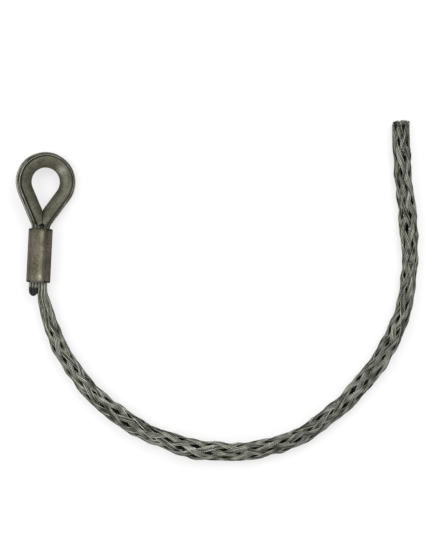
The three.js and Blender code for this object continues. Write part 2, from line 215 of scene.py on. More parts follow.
# The solids were centred on the ground under their box; the ferrule tells by how much.
ferrule_box = np.array(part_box("ferrule")) / MM
shift = (ferrule_box[0] + ferrule_box[1]) / 2 - (bottom + top) / 2
print("tube length", round(tube_length, 1), "row pitch", round(pitch, 2), "shift", shift.round(3))

# %% [markdown]
# ## Surface of the tube
#
# The tube lies on the ground along its line. Slow waves move the weave along and round it,
# and swellings make it lumpy, because the real mesh is not drawn evenly tight.
# Each wave has a height, a number of turns round the tube and a rate along it, in radians per mm.

# %% Tube surface
LOOK = 0.5
NECK_EVEN_TO = 28.0
MOUTH_EVEN_FROM = 4.0


def line_frame(u):
    """Centre, outward and lift directions of the tube's section at distances u.

    The height goes from the ferrule's bore to lying on the ground over NECK_SETTLES.
    """
    u = np.asarray(u, float)
    at = np.stack([np.interp(u, line_u, line[:, k]) for k in (0, 1)], -1)
    ahead = np.stack([np.interp(u + LOOK, line_u, line[:, k]) for k in (0, 1)], -1)
    behind = np.stack([np.interp(u - LOOK, line_u, line[:, k]) for k in (0, 1)], -1)
    forward = unit(ahead - behind)
    settled = smooth(u / NECK_SETTLES)
    resting = tube_radius(u) + TUBE_LEVEL + WIRE / 2
    high = rope_exit[2] + (resting - rope_exit[2]) * settled
    centre = np.concatenate([at, high[..., None]], -1)
    forward = np.concatenate([forward, np.zeros_like(forward[..., :1])], -1)
    outward = rolled_side(-forward, EYE_ROLL)
    return centre, outward, np.cross(forward, outward)


def uneven(u):
    """Share of unevenness at distance u: none at the neck and at the mouth, 1 between."""
    after_neck = smooth((np.asarray(u, float) - NECK_EVEN_TO) / 40.0)
    return after_neck * smooth((tube_length - MOUTH_EVEN_FROM - u) / 24.0)


def warp(slot, u):
    """Place in the weave moved by slow waves along the tube.

    Seen from above, the upper and the lower wall move alike: sideways waves are odd in the
    angle from the level plane and lengthwise ones are even.
    """
    a = slot * SLOT - EYE_ROLL * RAD
    aside = 0.15 * np.sin(a) * np.sin(0.033 * u + 2.0) + 0.15 * np.sin(2 * a) * np.sin(0.071 * u)
    aside += 0.1 * np.sin(3 * a) * np.sin(0.11 * u + 1.0)
    on = 1.5 * np.cos(a) * np.sin(0.021 * u + 0.4) + 1.5 * np.cos(2 * a) * np.sin(0.047 * u + 1.9)
    return slot + aside * uneven(u), u + on * uneven(u)


def swell(angle, u):
    """Outward bulge of the mesh in mm: waves on top, and lumps along both flanks."""
    a = angle - EYE_ROLL * RAD
    wave_sum = 0.45 * np.sin(2 * a + 0.043 * u + 1.0) + 0.35 * np.sin(a + 0.15 * u)
    wave_sum += 0.25 * np.sin(3 * a + 0.38 * u)
    lumps = 0.3 * np.cos(a) * np.sin(0.24 * u + 1.0) + 0.32 * np.cos(a) ** 2 * np.sin(0.29 * u)
    lumps += 0.4 * np.cos(a) * np.sin(0.115 * u + 2.0)
    return (wave_sum * (0.5 + 0.5 * np.sin(a)) + lumps) * uneven(u)


def tube_point(slot, u, level):
    """Points on the tube: angle = slot x 30 degrees, radius = tube radius + swell + level."""
    centre, outward, lift = line_frame(u)
    angle = np.asarray(slot, float) * SLOT
    radius = tube_radius(u) + swell(angle, u) + level
    return (
        centre
        + outward * (radius * np.cos(angle))[..., None]
        + lift * (radius * np.sin(angle))[..., None]
    )


print("middle of the tube half way along", line_frame(tube_length / 2)[0].round(1))

# %% [markdown]
# ## Wires of one leg
#
# In the weave a wire climbs one slot per row and rides over one crossing and under the next.
# Its height is a flattened cosine, centred where this very wire meets the crossing strand,
# so that the four wires of a strand step over one after another as drawn wires do.

# %% Weave
ROW_STEP = 0.25
WIDER_ON_TOP = 0.045
MOUTH_RISE = 4.0
MOUTH_RISE_PER_WIRE = 1.15
MOUTH_SLANT = 0.9


def wave(b):
    """Flattened cosine of b half turns: c(1.35 - 0.35 c^2) with c = cos(pi b)."""
    c = np.cos(np.pi * b)
    return c * (1.35 - 0.35 * c * c)


def wire_offset(j, u):
    """Sideways place of wire j in a flat strand, in slots."""
    slot_width = tube_radius(u) * SLOT
    lean = np.arctan(slot_width / pitch)
    return (j - 1.5) * WIRE_SPACING / np.cos(lean) / slot_width


def weave_leg(j, slot, climbing):
    """Key points of wire j from just below the first row up to the last row.

    climbing is +1 for a leg that climbs to the right and -1 for its mirror image.
    The wires of a strand lie a little wider apart on the top and closer on the ground side.
    """
    rows = np.arange(-0.5, ROWS + 0.01, ROW_STEP)
    middle, u = warp(slot + climbing * rows, FIRST_ROW + rows * pitch)
    on_top = np.sin((slot + climbing * rows) * SLOT - EYE_ROLL * RAD) * uneven(u)
    offset = climbing * wire_offset(j, u) * (1.0 + WIDER_ON_TOP * on_top)
    level = climbing * WIRE_LEVEL * wave(rows + climbing * offset / 2)
    return tube_point(middle + offset, u, level)


def mouth_turn(j, slot):
    """Key points of wire j in the turn at the mouth, from one leg to the next."""
    slot_width = float(tube_radius(last_row)) * SLOT
    turn = np.arange(0, 91, 22.5) * RAD
    radius = BEND_RADIUS + (1.5 - j) * WIRE
    across = (BEND_RADIUS - radius * np.cos(turn)) / slot_width
    rise = MOUTH_RISE - MOUTH_RISE_PER_WIRE * j
    u = bend_start + rise * np.sin(turn)
    slots = np.concatenate([slot + across, (slot + 2 - across)[::-1]])
    level = np.repeat([-WIRE_LEVEL, WIRE_LEVEL], len(turn))
    ahead = np.concatenate([u, u[::-1]]) - MOUTH_SLANT * np.cos(slots * SLOT)
    return tube_point(slots, ahead, level)


print("key points of a leg", len(weave_leg(0, 0, 1)), "and of a turn", len(mouth_turn(0, 0)))

# %% [markdown]
# ## Rope
#
# In the rope the four wires of a strand are drawn together two by two. The twelve legs fill a
# four by four block without its corners, which passes through the ferrule and round the thimble.
# Below the ferrule the block opens into the ring of the tube.

# %% Rope
FERRULE_INSIDE = 12.0
TAIL_EXTRA = 2.2
TAIL_ROUNDING = 0.14
TAIL_TIP = 2.5
LEG_STEPS = 3
TURN_STEPS = 16
NECK_PLACES = np.array([5.0, 9.0, 13.0, 17.0, 21.0, 25.0])
NECK_STARTS = 2.0
NECK_OPENS_OVER = 22.0
NECK_FAN = 0.24
NECK_LEGS_APART = 0.5


def cell_of(slot):
    """Place of a strand in the four by four block without corners, by its slot."""
    angle = (slot + 0.5) * SLOT
    c, s = math.cos(angle), math.sin(angle)
    across = math.copysign(1.5 if abs(c) > 0.9 else 0.5, c)
    high = math.copysign(1.5 if abs(s) > 0.9 else 0.5, s)
    quarter = math.floor(angle / (math.pi / 2) + 0.5) * math.pi / 2
    return {"across": across, "high": high, "angle": angle, "cell": quarter}


def square_offset(j, angle, half):
    """Offset of wire j in a two by two square of a strand turned by angle."""
    out = half * (1, -1, -1, 1)[j]
    aside = half * (-1, -1, 1, 1)[j]
    c, s = math.cos(angle), math.sin(angle)
    return np.array([out * c - aside * s, out * s + aside * c])


def packed(origin, outward, lift, cell, j, cell_pitch):
    """Place of wire j of a cell in a rope section."""
    x, z = square_offset(j, cell["cell"], cell_pitch * 0.25)
    return origin + outward * (cell["across"] * cell_pitch + x) + lift * (
        cell["high"] * cell_pitch + z
    )


def eye_section(turn, leg, radius):
    """Origin and outward direction of the teardrop at an angle and a distance down a side."""
    outward = eye_side * math.cos(turn) + eye_axis * math.sin(turn)
    forward = np.cross(outward, eye_lift)
    return eye_origin + outward * radius + forward * leg, outward


def eye_distance(points):
    """Distance out from the teardrop's middle: radius on the arc, square distance on the legs."""
    x = np.abs((points - eye_origin) @ eye_side)
    y = (points - eye_origin) @ eye_axis
    half = EYE_HALF_ANGLE * RAD
    on_leg = x * math.cos(half) - y * math.sin(half)
    return np.where(y > -x * math.tan(half), np.hypot(x, y), on_leg)


def teardrop(radius, leg, leg_steps, turn_steps):
    """Sections from the tail side over the top of the eye to the tube side."""
    start, end = math.pi + EYE_HALF_ANGLE * RAD, -EYE_HALF_ANGLE * RAD
    down = [eye_section(start, -leg * (1 - i / leg_steps), radius) for i in range(leg_steps)]
    turns = np.linspace(start, end, turn_steps + 1)
    arc = [eye_section(turn, 0.0, radius) for turn in turns]
    away = [eye_section(end, leg * (i + 1) / leg_steps, radius) for i in range(leg_steps)]
    return down + arc + away


def crotch(j, cell, side):
    """Place of wire j between the ferrule and the thimble, left (-1) or right (1) of the axis."""
    lean = CROTCH_LEAN * RAD
    outward = eye_side * side * math.cos(lean) - eye_axis * math.sin(lean)
    aside = eye_side * side * CROTCH_HALF_SPACING
    origin = top + eye_axis * CROTCH_ABOVE_FERRULE + aside + UP * (eye_height - top[2]) / 2
    return packed(origin, outward, eye_lift, cell, j, CROTCH_PITCH)


def eye_leg(j, cell):
    """Key points of wire j from the cut tail round the eye to the foot of the ferrule.

    A wire is cut shorter by its square distance from the rope's middle, which rounds the tail.
    """
    tail = -ferrule_side
    middle = bottom + tail * ROPE_SPACING
    off = packed(0.0, tail, ferrule_lift, cell, j, PRESSED_PITCH)
    cut = TAIL_LENGTH + TAIL_EXTRA - TAIL_ROUNDING * off @ off
    inside = [0, FERRULE_INSIDE, FERRULE_LENGTH - FERRULE_INSIDE, FERRULE_LENGTH]
    tail_places = [(-cut, 0.8), (-cut + TAIL_TIP, 0.97), (-cut / 2, 1)]
    places = []
    for along, drawn in tail_places + [(along, 1) for along in inside]:
        origin = middle + ferrule_axis * along
        places.append(packed(origin, tail, ferrule_lift, cell, j, PRESSED_PITCH * drawn))
    places.append(crotch(j, cell, -1))
    drop = teardrop(ROPE_RADIUS, ROPE_LEG, LEG_STEPS, TURN_STEPS)
    places += [packed(o, out, eye_lift, cell, j, ROPE_PITCH) for o, out in drop]
    places.append(crotch(j, cell, 1))
    for along in inside[::-1]:
        origin = rope_exit + ferrule_axis * along
        places.append(packed(origin, ferrule_side, ferrule_lift, cell, j, PRESSED_PITCH))
    return np.array(places)


def neck(j, cell, climbing):
    """Key points of wire j from the ferrule to the first row.

    Place in the section = block place x (1 - s) + ring place x s, with s eased from 0 to 1.
    """
    opened = smooth((NECK_PLACES - NECK_STARTS) / NECK_OPENS_OVER)
    centre, outward, lift = line_frame(NECK_PLACES)
    x, z = square_offset(j, cell["cell"], PRESSED_PITCH * 0.25)
    angle = cell["angle"] + climbing * (j - 1.5) * NECK_FAN * SLOT
    radius = tube_radius(NECK_PLACES) + climbing * NECK_LEGS_APART * opened
    x = (cell["across"] * PRESSED_PITCH + x) * (1 - opened) + radius * np.cos(angle) * opened
    z = (cell["high"] * PRESSED_PITCH + z) * (1 - opened) + radius * np.sin(angle) * opened
    return centre + outward * x[:, None] + lift * z[:, None]


print("key points of a wire in the eye", len(eye_leg(0, cell_of(0))))

# %% [markdown]
# ## Mesh helpers
#
# A round wire is a circle swept along its path. The section keeps its top upwards,
# which works because no wire ever stands on end. Each mesh carries a value of wear and painted
# shade per vertex:
# high on the crowns scuffed on the ground and by hands, and where a highlight is painted; low in
# the valleys, where dirt and painted shade lie.
# Points go in as millimetres and faces turn counter-clockwise seen from outside.

# %% Mesh helpers
def make_mesh(name, verts, faces, values, grain=None):
    """Smooth mesh object from millimetre points, polygons and named per-vertex values."""
    mesh = bpy.data.meshes.new(name)
    mesh.from_pydata(((verts + shift) * MM).tolist(), [], faces)
    mesh.validate()
    for key, value in values.items():
        layer = mesh.attributes.new(key, "FLOAT", "POINT")
        layer.data.foreach_set("value", np.asarray(value, np.float32))
    if grain is not None:
        layer = mesh.attributes.new("along", "FLOAT_VECTOR", "POINT")
        layer.data.foreach_set("vector", np.asarray(grain, np.float32).ravel())
    mesh.polygons.foreach_set("use_smooth", np.full(len(mesh.polygons), True))
    mesh.update()
    piece = bpy.data.objects.new(name, mesh)
    bpy.context.scene.collection.objects.link(piece)
    return piece


def sweep(paths, radius, sides):
    """Closed tubes along several paths of equal length: points, faces, ring directions."""
    wires, count = paths.shape[:2]
    tangent = unit(np.gradient(paths, axis=1))
    lift = unit(UP - tangent * (tangent @ UP)[..., None])
    side = np.cross(lift, tangent)
    turn = np.arange(sides) * 2 * np.pi / sides
    ring = (
        side[:, :, None] * np.cos(turn)[None, None, :, None]
        + lift[:, :, None] * np.sin(turn)[None, None, :, None]
    )
    verts = paths[:, :, None] + ring * radius
    index = np.arange(wires * count * sides).reshape(wires, count, sides)
    near, far = index[:, :-1], index[:, 1:]
    quads = np.stack([near, far, np.roll(far, -1, 2), np.roll(near, -1, 2)], -1)
    faces = quads.reshape(-1, 4)[:, ::-1].tolist()
    faces += [list(cap) for cap in index[:, 0]]
    faces += [list(cap)[::-1] for cap in index[:, -1]]
    return verts.reshape(-1, 3), faces, ring.reshape(-1, 3)


straight = np.linspace([0.0, 0.0, 0.0], [10.0, 0.0, 0.0], 3)[None]
print("faces of a two-step wire", len(sweep(straight, WIRE / 2, 8)[1]))

# %% [markdown]
# ## Steel finishes
#
# All the steel is old and dark. Drawn wire keeps a grey-olive skin, paler where it is scuffed and
# where a highlight is painted.
# The ferrule is browner, with oil-stained flats, and the thimble has a brown patch at its crown.
# All three carry painted shade in their hollows.
# Colours are sRGB hex values turned linear in one place. The patterns use the part's own
# coordinates in metres, so a noise scale of 150 gives patches of about seven millimetres.

# %% Material helpers
def linear(code):
    """Linear colour of an sRGB hex code: ((c + 0.055) / 1.055)^2.4 above 0.04045."""
    c = np.array([int(code[i:i + 2], 16) for i in (1, 3, 5)]) / 255.0
    c = np.where(c > 0.04045, ((c + 0.055) / 1.055) ** 2.4, c / 12.92)
    return (*c.tolist(), 1.0)


def new_material(name):
    """Material with an empty node tree; gives the material and its tree."""
    material = bpy.data.materials.new(name)
    material.use_nodes = True
    material.node_tree.nodes.clear()
    return material, material.node_tree


def add_node(tree, kind, settings=None, **inputs):
    """Node of a kind with its settings; an input is a socket to link or a constant."""
    node = tree.nodes.new(kind)
    for key, value in (settings or {}).items():
        setattr(node, key, value)
    for key, value in inputs.items():
        socket = node.inputs[int(key[1:])] if key[0] == "i" and key[1:].isdigit() else None
        socket = socket or node.inputs[key.replace("_", " ")]
        if isinstance(value, bpy.types.NodeSocket):
            tree.links.new(value, socket)
        else:
            socket.default_value = value
    return node


def noise(tree, vector, scale, detail=3.0, roughness=0.55, distortion=0.0):
    """Factor socket of a noise texture on a vector."""
    made = add_node(
        tree, "ShaderNodeTexNoise", Vector=vector, Scale=scale, Detail=detail,
        Roughness=roughness, Distortion=distortion,
    )
    return made.outputs[0]


def remap(tree, value, low, high, to_low=0.0, to_high=1.0):
    """Value between low and high moved smoothly to a new range."""
    made = add_node(
        tree, "ShaderNodeMapRange", {"interpolation_type": "SMOOTHSTEP"},
        i0=value, i1=low, i2=high, i3=to_low, i4=to_high,
    )
    return made.outputs[0]


def mix(tree, factor, first, second):
    """Colour between first and second."""
    made = add_node(
        tree, "ShaderNodeMix", {"data_type": "RGBA"}, i0=factor, i6=first, i7=second
    )
    return made.outputs[2]


def times(tree, a, b):
    """Product of two values."""
    return add_node(tree, "ShaderNodeMath", {"operation": "MULTIPLY"}, i0=a, i1=b).outputs[0]


def sum_of(tree, a, b):
    """Sum of two values."""
    return add_node(tree, "ShaderNodeMath", {"operation": "ADD"}, i0=a, i1=b).outputs[0]


def attribute(tree, name, output):
    """Socket of a per-vertex value of the mesh."""
    return add_node(tree, "ShaderNodeAttribute", {"attribute_name": name}).outputs[output]


def finish_metal(material, tree, colour, roughness, metallic, height, depth):
    """Principled metal with a bump of real depth in metres, linked to the output."""
    bump = add_node(tree, "ShaderNodeBump", Strength=1.0, Distance=depth, Height=height)
    shader = add_node(
        tree, "ShaderNodeBsdfPrincipled", Base_Color=colour, Roughness=roughness,
        Metallic=metallic, Normal=bump.outputs[0],
    )
    add_node(tree, "ShaderNodeOutputMaterial", Surface=shader.outputs[0])
    return material


def looked_at(tree):
    """1 for rays from the camera or off metal and glass, 0 for the light that falls on things."""
    ray = add_node(tree, "ShaderNodeLightPath").outputs
    seen = sum_of(tree, ray["Is Camera Ray"], ray["Is Glossy Ray"])
    return sum_of(tree, seen, ray["Is Transmission Ray"])


print("mid grey in linear light", np.round(linear("#808080")[0], 3))

# %% [markdown]
# ## The three steels
#
# Wire is darkest where its value of wear and painted shade is low. Its tone changes from wire to
# wire, and by place with some painted shade.
# Grain along the wire comes from the "along" value, which runs with the wire's own length.
# The thimble and the ferrule share one recipe with their own colours.

# %% Steels
WIRE_GRAIN_DEPTH = 0.05 * MM
CAST_GRAIN_DEPTH = 0.18 * MM


def wire_steel():
    """Weathered drawn steel wire: dirt and painted shade in the valleys and inside the tube,
    scuffed crowns, painted highlights on the rope's tops, burnt cut ends.
    """
    material, tree = new_material("wire_steel_weathered_and_painted_light")
    where = add_node(tree, "ShaderNodeTexCoord").outputs["Object"]
    wear_and_shade = attribute(tree, "wear_and_shade", "Fac")
    along = attribute(tree, "along", "Vector")
    burnt = attribute(tree, "burnt", "Fac")
    tone = attribute(tree, "tone", "Fac")
    drawn = noise(tree, along, 1.0, 4.0, 0.6)
    blotch = noise(tree, where, 140.0, 4.0, 0.6)
    speck = noise(tree, where, 900.0, 3.0, 0.6)
    ragged_wear_and_shade = sum_of(tree, times(tree, drawn, 0.5), wear_and_shade)
    skin = mix(tree, remap(tree, blotch, 0.35, 0.7), linear("#494a3e"), linear("#5a5543"))
    skin = mix(tree, remap(tree, drawn, 0.4, 0.75), skin, linear("#626358"))
    # Dirt and painted shade where the value is low: valleys of the weave, the inside of the tube
    # and the line where rope and thimble meet.
    grime_and_shade = mix(tree, remap(tree, ragged_wear_and_shade, 0.35, 0.95), linear("#22221c"), skin)
    # Scuffed crowns, and a painted highlight on the rope's upward faces, where the value is high.
    rubbed_and_lit = mix(tree, remap(tree, ragged_wear_and_shade, 0.95, 1.35), grime_and_shade, linear("#85877e"))
    rusty = times(tree, remap(tree, speck, 0.6, 0.75), remap(tree, blotch, 0.5, 0.65))
    colour = mix(tree, times(tree, rusty, 0.7), rubbed_and_lit, linear("#4a3a26"))
    fleck = remap(tree, noise(tree, along, 4.0, 3.0, 0.6), 0.3, 0.7, 0.58, 1.38)
    colour = add_node(
        tree, "ShaderNodeVectorMath", {"operation": "SCALE"}, i0=colour,
        Scale=times(tree, tone, fleck),
    ).outputs[0]
    charred = remap(tree, sum_of(tree, burnt, times(tree, blotch, 0.5)), 0.55, 0.95)
    colour = mix(tree, charred, colour, linear("#141312"))
    roughness = remap(tree, ragged_wear_and_shade, 0.3, 1.3, 0.78, 0.5)
    dull = remap(tree, charred, 0.0, 1.0, 1.0, 0.3)
    metallic = times(tree, remap(tree, ragged_wear_and_shade, 0.2, 0.7, 0.4, 0.8), dull)
    height = sum_of(tree, drawn, speck)
    return finish_metal(material, tree, colour, roughness, metallic, height, WIRE_GRAIN_DEPTH)


def cast_finish(name, dark, base, light, brown, brown_amount, edge_and_sheen_colour, highlight_colour):
    """Bare steel of a worked piece: stained flats, dirt and painted shade, scratches, scuffed
    edges and painted highlights.
    """
    material, tree = new_material(name)
    where = add_node(tree, "ShaderNodeTexCoord").outputs["Object"]
    wear_and_shade = attribute(tree, "wear_and_shade", "Fac")
    stained = attribute(tree, "stain", "Fac")
    painted_highlight = attribute(tree, "painted_highlight", "Fac")
    cloud = noise(tree, where, 60.0, 5.0, 0.6, 0.3)
    patch = noise(tree, where, 150.0, 5.0, 0.62, 0.2)
    grain = noise(tree, where, 520.0, 5.0, 0.7)
    stretch = add_node(tree, "ShaderNodeMapping", Vector=where, Scale=(900.0, 60.0, 300.0))
    scratch = noise(tree, stretch.outputs[0], 1.0, 3.0, 0.5)
    colour = mix(tree, remap(tree, cloud, 0.35, 0.65), linear(base), linear(light))
    stain = times(tree, remap(tree, patch, 0.36, 0.56), stained)
    colour = mix(tree, times(tree, stain, brown_amount), colour, linear(brown))
    colour = mix(tree, remap(tree, grain, 0.48, 0.68, 0.0, 0.5), colour, linear(dark))
    colour = mix(tree, remap(tree, grain, 0.46, 0.36, 0.0, 0.4), colour, linear(edge_and_sheen_colour))
    ragged_wear_and_shade = sum_of(tree, times(tree, patch, 0.5), wear_and_shade)
    # Dirt and painted shade where the value is low: the thimble's groove, inner edge and lips'
    # outside, the ferrule's side flats, rims and bore.
    colour = mix(tree, remap(tree, ragged_wear_and_shade, 0.1, 0.42), linear(dark), colour)
    # Wear and a painted highlight where the value is high: the thimble's lips and the ferrule's
    # top ridge.
    colour = mix(tree, remap(tree, ragged_wear_and_shade, 0.85, 1.25), colour, linear(edge_and_sheen_colour))
    colour = mix(tree, remap(tree, scratch, 0.66, 0.74, 0.0, 0.6), colour, linear(edge_and_sheen_colour))
    # Painted highlight spots, broken up by grain.
    highlight_share = remap(tree, sum_of(tree, painted_highlight, times(tree, grain, 1.3)), 1.0, 1.6)
    colour = mix(tree, highlight_share, colour, linear(highlight_colour))
    roughness = remap(tree, ragged_wear_and_shade, 0.2, 1.3, 0.66, 0.48)
    metallic = remap(tree, stain, 0.0, 1.0, 0.85, 0.5)
    height = sum_of(tree, grain, patch)
    return finish_metal(material, tree, colour, roughness, metallic, height, CAST_GRAIN_DEPTH)


steel_wire = wire_steel()
steel_thimble = cast_finish(
    "thimble_steel_worn_and_painted_light", "#1d1c15", "#49493d", "#605f53", "#463821", 0.6, "#6f6f63", "#a5a499"
)
steel_ferrule = cast_finish(
    "ferrule_steel_stained_and_painted_light", "#201f1a", "#484538", "#5d5b50", "#523f3e", 0.95, "#7c7862", "#aeac9f"
)
print("materials", [m.name for m in bpy.data.materials])

# %% [markdown]
# ## Paths, unevenness, wear and painted shade of the wires
#
# Each wire runs from the cut tail round the thimble, up one leg, round the mouth and back the
# same way. A little seeded waviness keeps the wires from looking printed.
# Wear and painted shade are worked out per point: in the mesh from how far it stands out, in the
# rope from how far it faces up, which paints light from above, less painted shade where rope and
# thimble meet. Brightness also follows the place: painted shade below the mouth's band and towards
# the right, and darker at the neck.

# %% Strand helpers
SIDES = 8
STEPS = 3
WAVINESS = 0.08
WAVINESS_SAMPLES = 18
TONE_MEAN = 0.91
TONE_OF_WIRE = 0.34
TONE_ALONG = 0.36
TONE_LENGTH = 8.0
TONE_LOWEST = 0.28
TONE_HIGHEST = 1.9
SELVEDGE_TONES = np.array([1.1, 0.55, 0.95, 0.42])
# Painted shade in a line below the mouth's band and towards the right; the mesh is also darker at
# the neck.
MOUTH_LINE_SHADE = 0.6
RIGHT_SHADE = 0.15
NECK_DARKENING = 0.2
EYE_LEFT_OF = -140.0
DARK_LINE_TO = 27.3
DARK_LINE_EASE = 0.9
LINE_THINNED = 16
mouth_y = float(line_frame(np.array([bend_start]))[0][0, 1])


def wire_path(j, i):
    """Whole path of wire j of strand i, from one cut end to the other."""
    last_slot = 2 * i + 2 + 2 * ROWS
    rising = cell_of((2 * i - 1) % 12)
    falling = cell_of(last_slot % 12)
    keys = np.vstack([
        eye_leg(j, rising),
        neck(j, rising, 1),
        weave_leg(j, 2 * i, 1),
        mouth_turn(j, 2 * i + ROWS),
        weave_leg(j, last_slot, -1)[::-1],
        neck(j, falling, -1)[::-1],
        eye_leg(j, falling)[::-1],
    ])
    return spline(keys, STEPS)


def waviness(count, wires):
    """Slow random offsets, about a tenth of a millimetre, of each wire along its length."""
    knots = rng.normal(0.0, WAVINESS, (wires, count // WAVINESS_SAMPLES + 2, 3))
    at = np.linspace(0, knots.shape[1] - 1, count)
    low = np.minimum(at.astype(int), knots.shape[1] - 2)
    share = smooth(at - low)[None, :, None]
    return knots[:, low] * (1 - share) + knots[:, low + 1] * share


def tones(length):
    """Brightness of each wire, about 1: its own level and slow changes along its length."""
    wires = len(length)
    own = rng.normal(0.0, TONE_OF_WIRE, (wires, 1))
    knots = rng.normal(0.0, TONE_ALONG, (wires, int(length[0, -1] / TONE_LENGTH) + 2))
    at = length / length[:, -1:] * (knots.shape[1] - 1)
    low = np.minimum(at.astype(int), knots.shape[1] - 2)
    share = smooth(at - low)
    rows = np.arange(wires)[:, None]
    slow = knots[rows, low] * (1 - share) + knots[rows, low + 1] * share
    return np.clip(TONE_MEAN + own + slow, TONE_LOWEST, TONE_HIGHEST)


def place_tone(paths):
    """Brightness by place: the turned wires of the mouth differ, and painted shade lies in a line
    below them.

    The mesh has painted shade towards the right and is darker at the neck.
    """
    x, above_mouth = paths[:, :, 0], paths[:, :, 1] - mouth_y
    selvedge = 1.0 + smooth(above_mouth) * (SELVEDGE_TONES[:, None] - 1.0)
    # Painted shade in a line just below the mouth's band.
    selvedge = selvedge * (1.0 - MOUTH_LINE_SHADE * bell(above_mouth, -0.7, 1.0))
    # Painted shade towards the right, and darker at the neck.
    at_neck = bell(paths[:, :, 1], -10.0, 22.0) * (x < EYE_LEFT_OF)
    return selvedge * (1.0 - RIGHT_SHADE * smooth((x + 60.0) / 220.0) - NECK_DARKENING * at_neck)


def tube_centres(points):
    """Nearest centre-line point of the tube for each point, seen in the plan."""
    step = line[::LINE_THINNED]
    gap = ((points[:, None, :2] - step[None]) ** 2).sum(-1)
    u = line_u[::LINE_THINNED][gap.argmin(1)]
    return line_frame(u)[0], u


def mesh_wear_and_shade(verts, ring):
    """0.26 + 0.22 x height above the mean tube + 0.64 x how far the skin faces outwards: wear on
    the crowns, dirt and painted shade in the valleys, painted shade inside the tube.
    """
    centre, u = tube_centres(verts)
    outward = verts - centre
    facing = (unit(outward) * ring).sum(1)
    crown = (np.linalg.norm(outward, axis=1) - tube_radius(u)) / (WIRE_LEVEL + WIRE / 2)
    return np.clip(0.26 + 0.22 * crown + 0.64 * facing, 0, 1.15)


def rope_light_and_shade(verts, ring):
    """0.72 + 0.4 x how far the skin faces up, which paints light from above, less a line of
    painted shade where rope and thimble meet.

    The line is weaker at the upper right of the eye, as in the photo.
    """
    right, up = (verts - eye_origin) @ eye_side, (verts - eye_origin) @ eye_axis
    # Painted shade in a line where rope and thimble meet.
    gap_shade = smooth((DARK_LINE_TO - eye_distance(verts)) / DARK_LINE_EASE)
    gap_shade = gap_shade * (verts[:, 1] > top[1] + 3.0)
    gap_shade = gap_shade * (1.0 - 0.7 * bell(right, 8.0, 13.0) * bell(up, 24.0, 13.0))
    return 0.72 + 0.4 * ring[:, 2] - 0.95 * gap_shade


def strand_wear_and_shade(verts, ring):
    """Wear and painted shade of the mesh, going over into the painted light and shade of the rope
    at the neck.
    """
    in_rope = smooth(((verts - bottom) @ ferrule_axis + 24.0) / 16.0) * (verts[:, 0] < EYE_LEFT_OF)
    return mesh_wear_and_shade(verts, ring) * (1.0 - in_rope) + rope_light_and_shade(verts, ring) * in_rope


def run_length(paths):
    """Distance along each wire: running sum of the steps between its samples."""
    steps = np.linalg.norm(np.diff(paths, axis=1), axis=2)
    return np.concatenate([np.zeros((len(paths), 1)), steps], 1).cumsum(1)


print("samples of a wire", len(wire_path(0, 0)), "and the mouth lies at y", round(mouth_y, 1))

# %% [markdown]
# ## Strands
#
# One piece per strand, made of its four wires. The last five millimetres of a cut end are burnt
# black, and the burn fades out over the next three.
# The "along" value carries the distance along the wire and the way round it for the grain.

# %% Strand pieces
BURNT_FROM = 8.0
BURNT_EASE = 3.0
GRAIN_PER_MM = 0.12
GRAIN_ROUND = 1.6

for i in range(STRANDS):
    paths = np.stack([wire_path(j, i) for j in range(WIRES_PER_STRAND)])
    paths = paths + waviness(paths.shape[1], WIRES_PER_STRAND)
    verts, faces, ring = sweep(paths, WIRE / 2, SIDES)
    length = run_length(paths)
    from_end = np.minimum(length, length[:, -1:] - length)
    burnt = smooth((BURNT_FROM - from_end) / BURNT_EASE)
    around = np.tile(np.arange(SIDES) * 2 * np.pi / SIDES, length.size)
    run = np.repeat(length.ravel(), SIDES) * GRAIN_PER_MM
    grain = np.stack([run, np.cos(around) * GRAIN_ROUND, np.sin(around) * GRAIN_ROUND], 1)
    values = {
        "wear_and_shade": strand_wear_and_shade(verts, ring),
        "burnt": np.repeat(burnt.ravel(), SIDES),
        "tone": np.repeat((tones(length) * place_tone(paths)).ravel(), SIDES),
    }
    piece = make_mesh(f"strand_wires_{i + 1}", verts, faces, values, grain)
    piece.data.materials.append(steel_wire)
    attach(piece, "root")
    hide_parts(f"strand_{i + 1}")
    print(piece.name, "faces", len(faces), "wire length", round(length[0, -1]))

# %% [markdown]
# ## Thimble
#
# One steel strip bent round: rounded towards the eye, with a groove for the rope outside.
# Both ends are cut on the middle line of the eye, where they meet above the ferrule.
# Surface values: the value of wear and painted shade is a little higher at the lips, and low with
# painted shade in the groove, at the inner edge and outside the lips. "stain" is high at the crown
# of the eye, where the brown patch is, and the value of the painted highlight is high at the upper
# right and down the right side.

# %% Thimble piece
INNER_POINTS = 29
LIP_POINTS = 5
LIP_INSET = 0.3
LIP_REACH = 0.9
LEG_PAST_CUT = 6.0
THIMBLE_LEG_STEPS = 18
THIMBLE_TURN_STEPS = 72
HALF_END_GAP = 0.15
CUT_FROM_SECTION = 30
# Strength of the painted highlight on the thimble.
HIGHLIGHT_STRENGTH = 0.68


